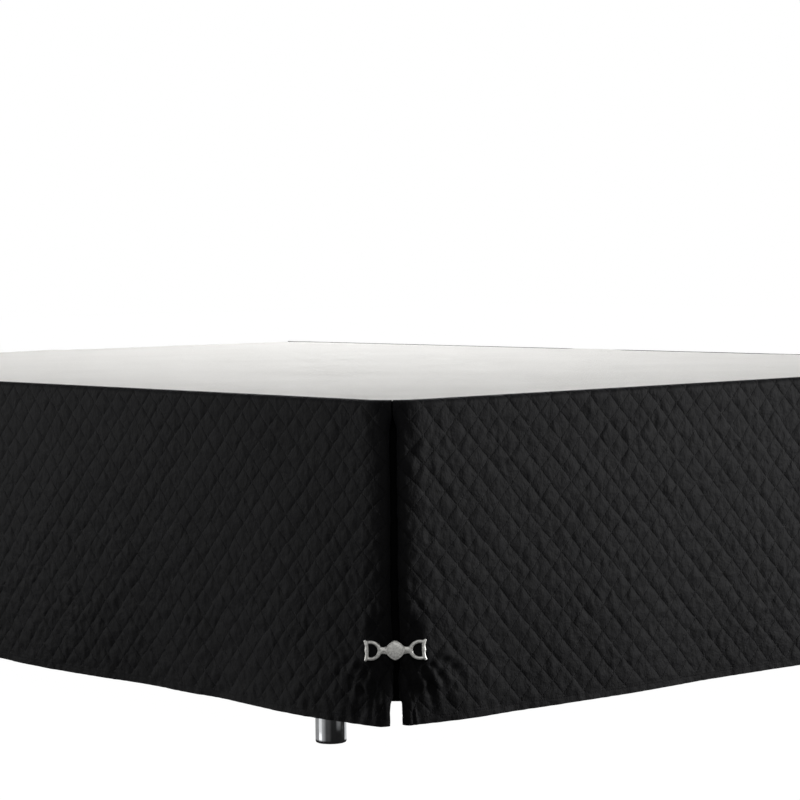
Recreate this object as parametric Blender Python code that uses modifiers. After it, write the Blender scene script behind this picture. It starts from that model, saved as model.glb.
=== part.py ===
"""Bed skirt hung round a plain box bed base.

Quilted drops are sewn to the foot edge and both long edges of a plain platform
cloth that lies on the base. The head end stays open. The drops meet at the two
foot corners in a slit, with a short underlay behind it and a metal clasp across
it near the hem. Lengths are in metres, +Z is up, the foot end faces -Y, and the
origin is the middle of the footprint at floor level.
"""

import math

import bmesh
import bpy
from mathutils import Matrix, Vector

for old in list(bpy.data.objects):
    bpy.data.objects.remove(old, do_unlink=True)

# ---------------------------------------------------------------- sizes
BASE_W = 1.380            # box base, across the bed
BASE_L = 1.880            # box base, head to foot
BASE_UNDER_Z = 0.150      # underside of the base, top of the legs
BASE_TOP_Z = 0.4490
BASE_CORNER_R = 0.110     # plan radius of the padded base corners
BASE_EDGE_R = 0.008

STAND_OFF = 0.010         # middle of the cloth to the side of the base
SKIRT_TOP_Z = 0.4520
HEM_Z = 0.0520
DROP = SKIRT_TOP_Z - HEM_Z
QUILT_T = 0.0025
DECK_T = 0.0012
FLAP_T = 0.0015
GAP = 0.0003              # between pieces that touch

HALF_X = BASE_W / 2 + STAND_OFF     # middle of the side drops
FOOT_Y = BASE_L / 2 + STAND_OFF     # middle of the foot drop, at -FOOT_Y
HEAD_Y = BASE_L / 2 + 0.008         # free end of the side drops

CORNER_R = 0.052          # plan radius of the cloth round a foot corner
ROLL_R = 0.008            # radius in which a slit edge rolls inward
ROLL_END = math.radians(135)
TAIL = 0.005              # straight end of the roll
SEAM_INSET = 0.010        # the drop's top turns in this far to the deck seam
TOP_BEND_R = 0.006
ANCHOR = 0.160            # from here to the corner the drop is shaped by it
DIAGONAL = math.radians(45)

LEG_R = 0.0200
LEG_EDGE_R = 0.0022
LEG_INSET = 0.0864        # leg centre to the side drop
LEG_FROM_FOOT = 0.222     # leg centre to the foot drop

FLAP_HALF_ANGLE = math.radians(28)
FLAP_OFF = 0.003          # middle of the underlay to the base corner
FLAP_HEM_Z = 0.0755
FLAP_PUSH = 0.022         # how far its lower part is pushed in

CLASP_Z = 0.1455
CLASP_HALF = 0.0389
CLASP_T = 0.0030
CLASP_BOW = 0.0025        # its ends stand this far behind its middle
CLASP_DEPTH = 0.0332      # sharp corner to the middle of the clasp, on the diagonal
DOME_H = 0.0016

# Slit and pull of the clasp. drop = metres below the top; the rest in millimetres:
# gap = half the slit; roll = share of the full roll; pinch = pull at the slit, felt
# over reach; side, foot = wider pull of the side and of the foot drop.
SLIT = [
    dict(drop=0.000, gap=2.5, roll=0.00, pinch=0.0, reach=30, side=0.0, foot=0.0),
    dict(drop=0.006, gap=2.5, roll=0.00, pinch=0.0, reach=30, side=0.0, foot=0.0),
    dict(drop=0.036, gap=5.0, roll=1.00, pinch=0.0, reach=29, side=0.0, foot=0.0),
    dict(drop=0.180, gap=5.6, roll=1.00, pinch=1.0, reach=26, side=0.0, foot=0.5),
    dict(drop=0.252, gap=6.0, roll=1.00, pinch=2.2, reach=24, side=0.5, foot=1.5),
    dict(drop=0.300, gap=5.2, roll=1.00, pinch=13.4, reach=21, side=1.0, foot=3.0),
    dict(drop=0.310, gap=5.0, roll=1.00, pinch=14.0, reach=21, side=1.0, foot=3.5),
    dict(drop=0.335, gap=3.4, roll=1.00, pinch=17.0, reach=29, side=1.5, foot=6.5),
    dict(drop=0.364, gap=3.6, roll=1.00, pinch=11.0, reach=36, side=2.0, foot=9.5),
    dict(drop=0.375, gap=7.2, roll=1.00, pinch=7.0, reach=38, side=2.0, foot=10.5),
    dict(drop=0.400, gap=8.2, roll=1.00, pinch=2.5, reach=40, side=2.0, foot=13.0),
]
WIDE_REACH = 0.078

# Soft hanging folds. at = metres along the drop from the foot corner (from the
# left corner on the foot drop); out = millimetres at the hem; reach = half width.
FOLDS = {
    "left": [
        dict(at=0.19, out=6.8, reach=0.085), dict(at=0.35, out=-6.0, reach=0.060),
        dict(at=0.50, out=-7.0, reach=0.075), dict(at=0.73, out=5.6, reach=0.100),
        dict(at=0.88, out=-3.0, reach=0.055), dict(at=1.03, out=5.2, reach=0.080),
        dict(at=1.24, out=-5.0, reach=0.095), dict(at=1.45, out=4.4, reach=0.080),
        dict(at=1.62, out=-4.2, reach=0.070), dict(at=1.80, out=4.0, reach=0.070),
    ],
    "right": [
        dict(at=0.24, out=5.2, reach=0.090), dict(at=0.44, out=-5.6, reach=0.085),
        dict(at=0.66, out=6.4, reach=0.090), dict(at=0.86, out=-3.8, reach=0.070),
        dict(at=1.02, out=-5.4, reach=0.080), dict(at=1.27, out=5.0, reach=0.100),
        dict(at=1.50, out=-3.6, reach=0.070), dict(at=1.70, out=4.8, reach=0.090),
    ],
    "foot": [
        dict(at=0.19, out=-2.2, reach=0.050), dict(at=0.40, out=4.4, reach=0.100),
        dict(at=0.57, out=-2.4, reach=0.080), dict(at=0.76, out=1.8, reach=0.080),
        dict(at=0.94, out=-2.6, reach=0.080), dict(at=1.12, out=3.4, reach=0.085),
    ],
}
FOLD_POWER = 1.5          # folds open towards the hem

# Rows of the drop below its top bend, metres below the top.
DROP_ROWS = [0.040, 0.090, 0.145, 0.195, 0.240, 0.276, 0.305, 0.322,
             0.339, 0.353, 0.364, 0.3695, 0.375, 0.400]
STRAIGHT_STEP = 0.070

COLOURS = {               # base colour, roughness, metallic
    "quilt": ((0.016, 0.016, 0.018), 0.85, 0.0),
    "flap": ((0.010, 0.010, 0.011), 0.90, 0.0),
    "deck": ((0.78, 0.77, 0.75), 0.90, 0.0),
    "base": ((0.62, 0.60, 0.57), 0.90, 0.0),
    "metal": ((0.62, 0.61, 0.59), 0.35, 1.0),
    "chrome": ((0.78, 0.79, 0.80), 0.10, 1.0),
}


# ---------------------------------------------------------------- helpers
def collection(name):
    made = bpy.data.collections.new(name)
    bpy.context.scene.collection.children.link(made)
    return made


PARTS = collection("bed_skirt")
CUTTERS = collection("bed_skirt_cutters")
MATERIALS = {}
for key, (rgb, rough, metallic) in COLOURS.items():
    mat = bpy.data.materials.new(key)
    mat.use_nodes = True
    shader = mat.node_tree.nodes["Principled BSDF"]
    shader.inputs["Base Color"].default_value = (*rgb, 1.0)
    shader.inputs["Roughness"].default_value = rough
    shader.inputs["Metallic"].default_value = metallic
    MATERIALS[key] = mat


def add(name, mesh, material, smooth=35):
    mesh.materials.clear()
    mesh.materials.append(MATERIALS[material])
    mesh.shade_smooth()
    mesh.set_sharp_from_angle(angle=math.radians(smooth))
    ob = bpy.data.objects.new(name, mesh)
    PARTS.objects.link(ob)
    return ob


def ease(t):
    t = min(1.0, max(0.0, t))
    return t * t * (3 - 2 * t)


def lookup(table, key, column, at):
    """Smooth reading of one column of a table between its rows."""
    if at <= table[0][key]:
        return table[0][column]
    for low, high in zip(table, table[1:]):
        if at <= high[key]:
            f = ease((at - low[key]) / (high[key] - low[key]))
            return low[column] + f * (high[column] - low[column])
    return table[-1][column]


# ---------------------------------------------------------------- drop shape
def slit_shape(drop):
    """Arc end angle, roll radius and roll end angle of a slit edge."""
    gap = lookup(SLIT, "drop", "gap", drop) / 1000
    share = lookup(SLIT, "drop", "roll", drop)
    flat_end = DIAGONAL - math.asin(gap / CORNER_R)
    end = flat_end + share * (ROLL_END - flat_end)
    radius = 1 / ((1 - share) / CORNER_R + share / ROLL_R)
    if share < 0.01:
        return flat_end - math.radians(18), CORNER_R, flat_end
    reach = (gap + radius * math.sin(min(end, ROLL_END) - DIAGONAL)) / (CORNER_R - radius)
    return DIAGONAL - math.asin(reach), radius, end


def corner_point(stage, drop):
    """Plan point (along, out) and facing angle of a drop near its slit edge.

    stage 0-1 runs straight from the anchor, 1-2 round the corner, 2-3 round the
    rolled edge and 3-4 along its straight tail.
    """
    arc_end, radius, end = slit_shape(drop)
    tail = TAIL * (0.3 + 0.7 * lookup(SLIT, "drop", "roll", drop))
    if stage <= 1:
        return ANCHOR + stage * (CORNER_R - ANCHOR), 0.0, 0.0
    turn = arc_end * min(stage - 1, 1)
    along, out = CORNER_R * (1 - math.sin(turn)), CORNER_R * (math.cos(turn) - 1)
    if stage > 2:
        turn = arc_end + (end - arc_end) * min(stage - 2, 1)
        along -= radius * (math.sin(turn) - math.sin(arc_end))
        out += radius * (math.cos(turn) - math.cos(arc_end))
    if stage > 3:
        along -= tail * (stage - 3) * math.cos(turn)
        out -= tail * (stage - 3) * math.sin(turn)
    return along, out, turn


def pull(side, along, stage, drop):
    """How far the clasp and the loose hem draw the drop in near the slit."""
    arc_end = slit_shape(drop)[0]
    if stage <= 1:
        from_edge = along - CORNER_R + CORNER_R * arc_end
    else:
        from_edge = CORNER_R * arc_end * (1 - min(stage - 1, 1))
    reach = lookup(SLIT, "drop", "reach", drop) / 1000
    pinch = lookup(SLIT, "drop", "pinch", drop) * math.exp(-(from_edge / reach) ** 2.4)
    wide = lookup(SLIT, "drop", side, drop) * math.exp(-(from_edge / WIDE_REACH) ** 2.4)
    return (pinch + wide) / 1000


def fold_out(panel, along, drop):
    total = sum(f["out"] * math.exp(-((along - f["at"]) / f["reach"]) ** 2) for f in FOLDS[panel])
    return total / 1000 * (drop / DROP) ** FOLD_POWER


def near_corner(panel, side, stage, drop, inset, at_zero, sign):
    """Plan point (along, out) of a drop in its corner zone, with pull and folds."""
    along, out, turn = corner_point(stage, drop)
    facing = DIAGONAL * min(1.0, turn / slit_shape(drop)[0])
    move = -pull(side, along, stage, drop)
    move += fold_out(panel, at_zero + sign * along, drop) * ease((along - 0.03) / 0.10)
    along += -math.sin(facing) * move + math.sin(turn) * inset
    out += math.cos(facing) * move - math.cos(turn) * inset
    return along, out


def profile_rows():
    """Rows from the deck seam over the top bend to the hem: inset, height, drop."""
    mid_top = SKIRT_TOP_Z - QUILT_T / 2
    rows = [(SEAM_INSET, mid_top, 0.0)]
    for turn in (0, 45, 90):
        t = math.radians(turn)
        rows.append((TOP_BEND_R * (1 - math.sin(t)), mid_top - TOP_BEND_R * (1 - math.cos(t)),
                     TOP_BEND_R * t / (math.pi / 2)))
    rows += [(0.0, SKIRT_TOP_Z - drop, drop) for drop in DROP_ROWS]
    return rows


CORNER_STAGES = ([f / 3 for f in range(1, 4)] + [1 + f / 4 for f in range(1, 5)]
                 + [2 + f / 5 for f in range(1, 6)] + [4.0])


def sheet(name, columns, rows, place, thickness, material):
    """A grid bent to its hung shape by place(column, row), then given its thickness."""
    bm = bmesh.new()
    bmesh.ops.create_grid(bm, x_segments=columns - 1, y_segments=rows - 1, size=0.5)
    for v in bm.verts:
        column = round((v.co.x + 0.5) * (columns - 1))
        row = round((0.5 - v.co.y) * (rows - 1))
        v.co = Vector(place(column, row))
    bmesh.ops.recalc_face_normals(bm, faces=bm.faces)
    mesh = bpy.data.meshes.new(name)
    bm.to_mesh(mesh)
    bm.free()
    ob = add(name, mesh, material, 60)
    solid = ob.modifiers.new("thickness", "SOLIDIFY")
    solid.thickness = thickness
    solid.offset = 0.0
    solid.use_even_offset = True
    return ob


ROWS = profile_rows()


def side_drop(name, panel, x_sign):
    """A long side's drop, from the rolled slit edge to the free head end."""
    straight = HEAD_Y + FOOT_Y - ANCHOR
    steps = math.ceil(straight / STRAIGHT_STEP)
    stages = list(reversed(CORNER_STAGES))

    def place(column, row):
        inset, z, drop = ROWS[row]
        if column < len(stages):
            along, out = near_corner(panel, "side", stages[column], drop, inset, 0.0, 1)
        else:
            along = ANCHOR + straight * (column - len(stages)) / steps
            out = fold_out(panel, along, drop) - inset
        return x_sign * (HALF_X + out), -FOOT_Y + along, z

    return sheet(name, len(stages) + steps + 1, len(ROWS), place, QUILT_T, "quilt")


def foot_drop(name):
    """The foot end's drop, with a rolled slit edge at each end."""
    width = 2 * HALF_X
    straight = width - 2 * ANCHOR
    steps = math.ceil(straight / STRAIGHT_STEP)
    count = 2 * len(CORNER_STAGES) + steps + 1
    stages = list(reversed(CORNER_STAGES))

    def place(column, row):
        inset, z, drop = ROWS[row]
        if column < len(stages):
            along, out = near_corner("foot", "foot", stages[column], drop, inset, 0.0, 1)
        elif column >= count - len(stages):
            stage = stages[count - 1 - column]
            along, out = near_corner("foot", "foot", stage, drop, inset, width, -1)
            along = width - along
        else:
            along = ANCHOR + straight * (column - len(stages)) / steps
            out = fold_out("foot", along, drop) - inset
        return -HALF_X + along, -FOOT_Y - out, z

    return sheet(name, count, len(ROWS), place, QUILT_T, "quilt")


def corner_flap(name, x_sign):
    """Short underlay that hangs behind a slit, its lower part pushed in."""
    centre = STAND_OFF + BASE_CORNER_R
    radius = BASE_CORNER_R + FLAP_OFF
    top = SKIRT_TOP_Z - QUILT_T / 2 - DECK_T / 2 - 0.0012
    heights = [top, 0.38, 0.29, 0.20, 0.160, 0.148, 0.138, 0.128, 0.118, 0.108, 0.092, FLAP_HEM_Z]
    columns = 11

    def place(column, row):
        z = heights[row]
        turn = DIAGONAL + FLAP_HALF_ANGLE * (2 * column / (columns - 1) - 1)
        push = FLAP_PUSH * ease((0.148 - z) / 0.040) * math.sin(DIAGONAL)
        along = centre - radius * math.sin(turn) + push
        inward = centre - radius * math.cos(turn) + push
        return x_sign * (HALF_X - inward), -FOOT_Y + along, z

    return sheet(name, columns, len(heights), place, FLAP_T, "flap")


# ---------------------------------------------------------------- base, deck, legs
def slab(name, half_x, y_low, y_high, z_low, z_high, corner_r, segments, material):
    """A flat block whose upright corner edges are rounded."""
    bm = bmesh.new()
    bmesh.ops.create_cube(bm, size=1.0)
    for v in bm.verts:
        v.co.x *= 2 * half_x
        v.co.y = y_low + (v.co.y + 0.5) * (y_high - y_low)
        v.co.z = z_low + (v.co.z + 0.5) * (z_high - z_low)
    upright = [e for e in bm.edges if abs(e.verts[0].co.z - e.verts[1].co.z) > 1e-4]
    bmesh.ops.bevel(bm, geom=upright, offset=corner_r, segments=segments, profile=0.5,
                    affect="EDGES")
    mesh = bpy.data.meshes.new(name)
    bm.to_mesh(mesh)
    bm.free()
    return add(name, mesh, material)


def bed_base():
    ob = slab("bed_base", BASE_W / 2, -BASE_L / 2, BASE_L / 2, BASE_UNDER_Z, BASE_TOP_Z,
              BASE_CORNER_R, 12, "base")
    bevel = ob.modifiers.new("edges", "BEVEL")
    bevel.width = BASE_EDGE_R
    bevel.segments = 3
    bevel.limit_method = "ANGLE"
    bevel.angle_limit = math.radians(60)
    return ob


def skirt_deck():
    edge = SEAM_INSET + GAP
    z_low = BASE_TOP_Z + GAP
    return slab("skirt_deck", HALF_X - edge, -FOOT_Y + edge, BASE_L / 2 - GAP, z_low,
                z_low + DECK_T, CORNER_R - edge, 8, "deck")


def leg(name, x, y):
    bm = bmesh.new()
    height = BASE_UNDER_Z - GAP
    bmesh.ops.create_cone(bm, cap_ends=True, segments=40, radius1=LEG_R, radius2=LEG_R,
                          depth=height)
    bottom = [e for e in bm.edges if all(v.co.z < 0 for v in e.verts)]
    bmesh.ops.bevel(bm, geom=bottom, offset=LEG_EDGE_R, segments=3, profile=0.5, affect="EDGES")
    mesh = bpy.data.meshes.new(name)
    bm.to_mesh(mesh)
    bm.free()
    ob = add(name, mesh, "chrome", 40)
    ob.location = (x, y, height / 2)
    return ob


# ---------------------------------------------------------------- clasp
# Upper edge of the right half of the clasp, from its medallion to the outer bar,
# and the upper half of the opening in its D frame. Millimetres.
CLASP_EDGE = [
    dict(x=13.0, y=4.2), dict(x=15.6, y=4.2), dict(x=17.6, y=5.2), dict(x=20.0, y=7.4),
    dict(x=23.2, y=10.4), dict(x=26.4, y=12.0), dict(x=30.0, y=12.3), dict(x=34.4, y=12.3),
    dict(x=36.6, y=12.9), dict(x=38.5, y=13.5), dict(x=38.9, y=12.4), dict(x=37.4, y=10.4),
    dict(x=36.9, y=8.6), dict(x=36.8, y=3.4), dict(x=37.5, y=2.0),
]
CLASP_OPENING = [
    dict(x=33.4, y=1.8), dict(x=34.0, y=3.4), dict(x=34.0, y=8.6), dict(x=31.0, y=8.8),
    dict(x=27.2, y=8.5), dict(x=24.2, y=7.2), dict(x=21.6, y=4.6), dict(x=20.6, y=2.0),
]
MEDALLION_W, MEDALLION_H = 12.6, 11.9
MEDALLION_POWER = 1.45    # 1 is a straight-sided diamond, 2 an oval
DOME_INSET = 1.7          # edge of the dome to the medallion's points


def medallion_edge():
    """Upper right quarter of the medallion, down to where the neck leaves it."""
    points = []
    for i in range(9):
        t = math.radians(90 - i * 9)
        x = MEDALLION_W * math.cos(t) ** (2 / MEDALLION_POWER)
        y = MEDALLION_H * math.sin(t) ** (2 / MEDALLION_POWER)
        if y > 4.4:
            points.append((x, y))
    return points


def spline(curve, points):
    line = curve.splines.new("POLY")
    line.points.add(len(points) - 1)
    for point, (x, y) in zip(line.points, points):
        point.co = (x / 1000, y / 1000, 0.0, 1.0)
    line.use_cyclic_u = True


def clasp(name, x_sign):
    """One cast piece: two D frames, two necks and a domed medallion, slightly bowed."""
    quarter = medallion_edge() + [(p["x"], p["y"]) for p in CLASP_EDGE]
    outline = quarter + [(x, -y) for x, y in reversed(quarter)]
    outline += [(-x, -y) for x, y in quarter[1:]] + [(-x, y) for x, y in reversed(quarter[1:])]
    opening = [(p["x"], p["y"]) for p in CLASP_OPENING]
    opening += [(x, -y) for x, y in reversed(opening)]

    curve = bpy.data.curves.new(name + "_outline", "CURVE")
    curve.dimensions = "2D"
    curve.fill_mode = "BOTH"
    curve.extrude = CLASP_T / 2
    spline(curve, outline)
    spline(curve, opening)
    spline(curve, [(-x, y) for x, y in opening])
    flat = bpy.data.objects.new(name + "_outline", curve)
    PARTS.objects.link(flat)
    bpy.context.view_layer.update()
    mesh = bpy.data.meshes.new_from_object(
        flat.evaluated_get(bpy.context.evaluated_depsgraph_get()))
    bpy.data.objects.remove(flat, do_unlink=True)
    bm = bmesh.new()
    bm.from_mesh(mesh)
    bmesh.ops.remove_doubles(bm, verts=bm.verts, dist=0.00001)
    bmesh.ops.recalc_face_normals(bm, faces=bm.faces)
    for v in bm.verts:
        v.co.z -= CLASP_BOW * (v.co.x / CLASP_HALF) ** 2
    bm.to_mesh(mesh)
    bm.free()
    ob = add(name, mesh, "metal")

    bm = bmesh.new()
    bmesh.ops.create_uvsphere(bm, u_segments=24, v_segments=12, radius=1.0)
    for v in bm.verts:
        v.co.x *= (MEDALLION_W - DOME_INSET) / 1000
        v.co.y *= (MEDALLION_H - DOME_INSET) / 1000
        v.co.z *= CLASP_T / 2 + DOME_H if v.co.z > 0 else CLASP_T / 4
    dome = bpy.data.objects.new(name + "_dome", bpy.data.meshes.new(name + "_dome"))
    bm.to_mesh(dome.data)
    bm.free()
    dome.hide_render = True
    dome.display_type = "WIRE"
    CUTTERS.objects.link(dome)
    joined = ob.modifiers.new("dome", "BOOLEAN")
    joined.operation = "UNION"
    joined.object = dome

    # local X runs along the clasp, local Z points out of the corner
    out = Vector((x_sign, -1.0, 0.0)).normalized()
    up = Vector((0.0, 0.0, 1.0))
    turn = Matrix((up.cross(out), up, out)).transposed().to_4x4()
    corner = Vector((x_sign * HALF_X, -FOOT_Y, CLASP_Z))
    for piece in (ob, dome):
        piece.matrix_world = Matrix.Translation(corner - out * CLASP_DEPTH) @ turn
    return ob


# ---------------------------------------------------------------- build
bed_base()
skirt_deck()
foot_drop("drop_foot")
side_drop("drop_side_left", "left", -1)
side_drop("drop_side_right", "right", 1)
corner_flap("corner_flap_left", -1)
corner_flap("corner_flap_right", 1)
for side, x_sign in (("left", -1), ("right", 1)):
    leg("leg_foot_" + side, x_sign * (HALF_X - LEG_INSET), -FOOT_Y + LEG_FROM_FOOT)
    leg("leg_head_" + side, x_sign * (HALF_X - LEG_INSET), FOOT_Y - LEG_FROM_FOOT)
    clasp("clasp_" + side, x_sign)
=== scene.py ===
"""Looks of the bed skirt: quilted drops, underlays, platform cloth, clasps, base and legs.

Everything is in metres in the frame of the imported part: +Z up, foot end towards -Y,
origin in the middle of the footprint on the floor.
"""

import math

import bmesh
import bpy
import numpy as np
from mathutils import Matrix, Vector


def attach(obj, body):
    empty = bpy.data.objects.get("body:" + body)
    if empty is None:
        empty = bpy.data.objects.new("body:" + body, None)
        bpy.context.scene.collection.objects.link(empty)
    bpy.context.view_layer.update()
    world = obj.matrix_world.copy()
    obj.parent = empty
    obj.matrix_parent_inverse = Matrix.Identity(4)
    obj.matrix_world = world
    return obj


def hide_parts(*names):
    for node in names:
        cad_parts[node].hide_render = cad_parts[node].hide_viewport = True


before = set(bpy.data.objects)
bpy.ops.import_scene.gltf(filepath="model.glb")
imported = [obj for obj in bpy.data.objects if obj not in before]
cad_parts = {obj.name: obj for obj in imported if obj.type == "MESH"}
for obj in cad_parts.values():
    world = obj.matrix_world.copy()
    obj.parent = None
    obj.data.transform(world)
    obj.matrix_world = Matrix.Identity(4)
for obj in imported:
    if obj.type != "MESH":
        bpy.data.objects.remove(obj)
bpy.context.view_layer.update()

# ---------------------------------------------------------------- sizes, as in the part
BASE_W, BASE_L = 1.380, 1.880
BASE_UNDER_Z, BASE_TOP_Z = 0.150, 0.4490
BASE_CORNER_R = 0.110
STAND_OFF = 0.010
SKIRT_TOP_Z, HEM_Z = 0.4520, 0.0520
DROP = SKIRT_TOP_Z - HEM_Z
QUILT_T, DECK_T, FLAP_T = 0.0025, 0.0012, 0.0015
GAP = 0.0003
HALF_X = BASE_W / 2 + STAND_OFF
FOOT_Y = BASE_L / 2 + STAND_OFF
HEAD_Y = BASE_L / 2 + 0.008
CORNER_R, ROLL_R, ROLL_END, TAIL = 0.052, 0.008, math.radians(135), 0.005
SEAM_INSET, TOP_BEND_R = 0.010, 0.006
ANCHOR, DIAGONAL = 0.160, math.radians(45)
LEG_R, LEG_INSET, LEG_FROM_FOOT = 0.0200, 0.0864, 0.222
FLAP_HALF_ANGLE, FLAP_OFF, FLAP_HEM_Z, FLAP_PUSH = math.radians(28), 0.003, 0.0755, 0.022
CLASP_Z, CLASP_HALF, CLASP_T = 0.1455, 0.0389, 0.0030
CLASP_BOW, CLASP_DEPTH = 0.0025, 0.0332

# drop in metres below the top; the rest in millimetres, as in the part
SLIT = [
    dict(drop=0.000, gap=2.5, roll=0.00, pinch=0.0, reach=30, side=0.0, foot=0.0),
    dict(drop=0.006, gap=2.5, roll=0.00, pinch=0.0, reach=30, side=0.0, foot=0.0),
    dict(drop=0.036, gap=5.0, roll=1.00, pinch=0.0, reach=29, side=0.0, foot=0.0),
    dict(drop=0.180, gap=5.6, roll=1.00, pinch=1.0, reach=26, side=0.0, foot=0.5),
    dict(drop=0.252, gap=6.0, roll=1.00, pinch=2.2, reach=24, side=0.5, foot=1.5),
    dict(drop=0.300, gap=5.2, roll=1.00, pinch=13.4, reach=21, side=1.0, foot=3.0),
    dict(drop=0.310, gap=5.0, roll=1.00, pinch=14.0, reach=21, side=1.0, foot=3.5),
    dict(drop=0.335, gap=3.4, roll=1.00, pinch=17.0, reach=29, side=1.5, foot=6.5),
    dict(drop=0.364, gap=3.6, roll=1.00, pinch=11.0, reach=36, side=2.0, foot=9.5),
    dict(drop=0.375, gap=7.2, roll=1.00, pinch=7.0, reach=38, side=2.0, foot=10.5),
    dict(drop=0.400, gap=8.2, roll=1.00, pinch=2.5, reach=40, side=2.0, foot=13.0),
]
WIDE_REACH = 0.078
FOLDS = {
    "left": [
        dict(at=0.19, out=6.8, reach=0.085), dict(at=0.35, out=-6.0, reach=0.060),
        dict(at=0.50, out=-7.0, reach=0.075), dict(at=0.73, out=5.6, reach=0.100),
        dict(at=0.88, out=-3.0, reach=0.055), dict(at=1.03, out=5.2, reach=0.080),
        dict(at=1.24, out=-5.0, reach=0.095), dict(at=1.45, out=4.4, reach=0.080),
        dict(at=1.62, out=-4.2, reach=0.070), dict(at=1.80, out=4.0, reach=0.070),
    ],
    "right": [
        dict(at=0.24, out=5.2, reach=0.090), dict(at=0.44, out=-5.6, reach=0.085),
        dict(at=0.66, out=6.4, reach=0.090), dict(at=0.86, out=-3.8, reach=0.070),
        dict(at=1.02, out=-5.4, reach=0.080), dict(at=1.27, out=5.0, reach=0.100),
        dict(at=1.50, out=-3.6, reach=0.070), dict(at=1.70, out=4.8, reach=0.090),
    ],
    "foot": [
        dict(at=0.19, out=-2.2, reach=0.050), dict(at=0.40, out=4.4, reach=0.100),
        dict(at=0.57, out=-2.4, reach=0.080), dict(at=0.76, out=1.8, reach=0.080),
        dict(at=0.94, out=-2.6, reach=0.080), dict(at=1.12, out=3.4, reach=0.085),
    ],
}
FOLD_POWER = 1.5

# ---------------------------------------------------------------- quilting
LINE_GAP = 0.0254         # between parallel quilting lines
POINT_GAP = LINE_GAP * math.sqrt(2)   # a diamond from point to point
PUFF = 0.0010             # how far a diamond stands proud of its lines
LINE_T = 0.0009           # thickness left at the quilting lines
HEM_BAND = 0.0105         # smooth turned hem, up to its stitch line
TOP_BAND = 0.0005         # smooth band below the top seam
CUT_EDGE = 0.1580         # cloth from the anchor to the cut edge of the slit

# creases that run out from the clasps. Each goes through three points, given in millimetres
# as (cloth from the slit's cut edge, drop below the top)
CREASES = {
    "foot": [
        dict(start=(44, 324), mid=(49, 352), end=(50, 396), deep=1.7, wide=3.8),
        dict(start=(53, 322), mid=(64, 350), end=(71, 396), deep=2.1, wide=4.2),
        dict(start=(60, 320), mid=(80, 344), end=(96, 394), deep=2.3, wide=4.6),
        dict(start=(66, 315), mid=(98, 330), end=(128, 366), deep=1.7, wide=5.0),
        dict(start=(58, 302), mid=(67, 268), end=(76, 226), deep=1.3, wide=6.5),
        dict(start=(66, 306), mid=(90, 292), end=(118, 272), deep=1.1, wide=6.0),
    ],
    "foot_far": [
        dict(start=(43, 323), mid=(46, 354), end=(47, 396), deep=1.8, wide=4.0),
        dict(start=(54, 322), mid=(62, 352), end=(68, 396), deep=2.0, wide=4.4),
        dict(start=(61, 319), mid=(78, 346), end=(92, 395), deep=2.2, wide=4.8),
        dict(start=(66, 314), mid=(94, 332), end=(120, 372), deep=1.6, wide=5.0),
        dict(start=(58, 300), mid=(70, 264), end=(82, 222), deep=1.4, wide=6.5),
    ],
    "left": [
        dict(start=(42, 323), mid=(45, 352), end=(46, 396), deep=1.7, wide=3.8),
        dict(start=(52, 322), mid=(62, 352), end=(68, 396), deep=2.0, wide=4.2),
        dict(start=(59, 320), mid=(79, 352), end=(92, 395), deep=2.3, wide=4.6),
        dict(start=(66, 314), mid=(94, 332), end=(120, 370), deep=1.6, wide=5.2),
        dict(start=(57, 300), mid=(66, 264), end=(75, 222), deep=1.3, wide=6.5),
        dict(start=(66, 305), mid=(88, 290), end=(112, 274), deep=1.0, wide=6.0),
    ],
    "right": [
        dict(start=(43, 324), mid=(47, 354), end=(49, 396), deep=1.7, wide=4.0),
        dict(start=(53, 322), mid=(66, 352), end=(74, 396), deep=2.1, wide=4.4),
        dict(start=(60, 319), mid=(82, 348), end=(99, 394), deep=2.1, wide=4.8),
        dict(start=(57, 301), mid=(67, 266), end=(79, 226), deep=1.3, wide=6.5),
    ],
}


# ---------------------------------------------------------------- camera
def camera():
    """The photograph's viewpoint: distances along and across its line of sight to the
    foot corner on the left, and its frame taken as 800 x 800."""
    side, focal, middle, horizon = 800, 2751.0, 390.6, 253.1
    azimuth, roll = math.radians(41.527), math.radians(0.6315)
    depth, height = 3.2975, 0.6287
    ahead = Vector((math.sin(azimuth), math.cos(azimuth), 0))
    right = Vector((math.cos(azimuth), -math.sin(azimuth), 0))
    spot = (Vector((-HALF_X, -FOOT_Y, 0)) - ahead * depth
            - right * ((middle - side / 2) * depth / focal))
    spot.z = height
    pitch = math.atan((side / 2 - horizon) / focal)
    look = (ahead * math.cos(pitch) - Vector((0, 0, 1)) * math.sin(pitch)).normalized()
    up = right.cross(look)
    across = right * math.cos(roll) - up * math.sin(roll)
    upward = up * math.cos(roll) + right * math.sin(roll)
    data = bpy.data.cameras.new("camera")
    data.sensor_width = 36.0
    data.lens = focal * 36.0 / side
    data.clip_start, data.clip_end = 0.05, 60.0
    ob = bpy.data.objects.new("camera", data)
    ob.matrix_world = Matrix.Translation(spot) @ Matrix((across, upward, -look)).transposed().to_4x4()
    bpy.context.scene.collection.objects.link(ob)
    bpy.context.scene.camera = ob
    return spot, ahead, right


EYE, AHEAD, RIGHT = camera()


# ---------------------------------------------------------------- shapes of the drops
def ease(t):
    t = np.clip(t, 0.0, 1.0)
    return t * t * (3 - 2 * t)


def lookup(table, key, column, at):
    xs = np.array([row[key] for row in table])
    ys = np.array([row[column] for row in table], dtype=float)
    i = np.clip(np.searchsorted(xs, at, side="right") - 1, 0, len(xs) - 2)
    f = ease((at - xs[i]) / (xs[i + 1] - xs[i]))
    return ys[i] + f * (ys[i + 1] - ys[i])


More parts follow.
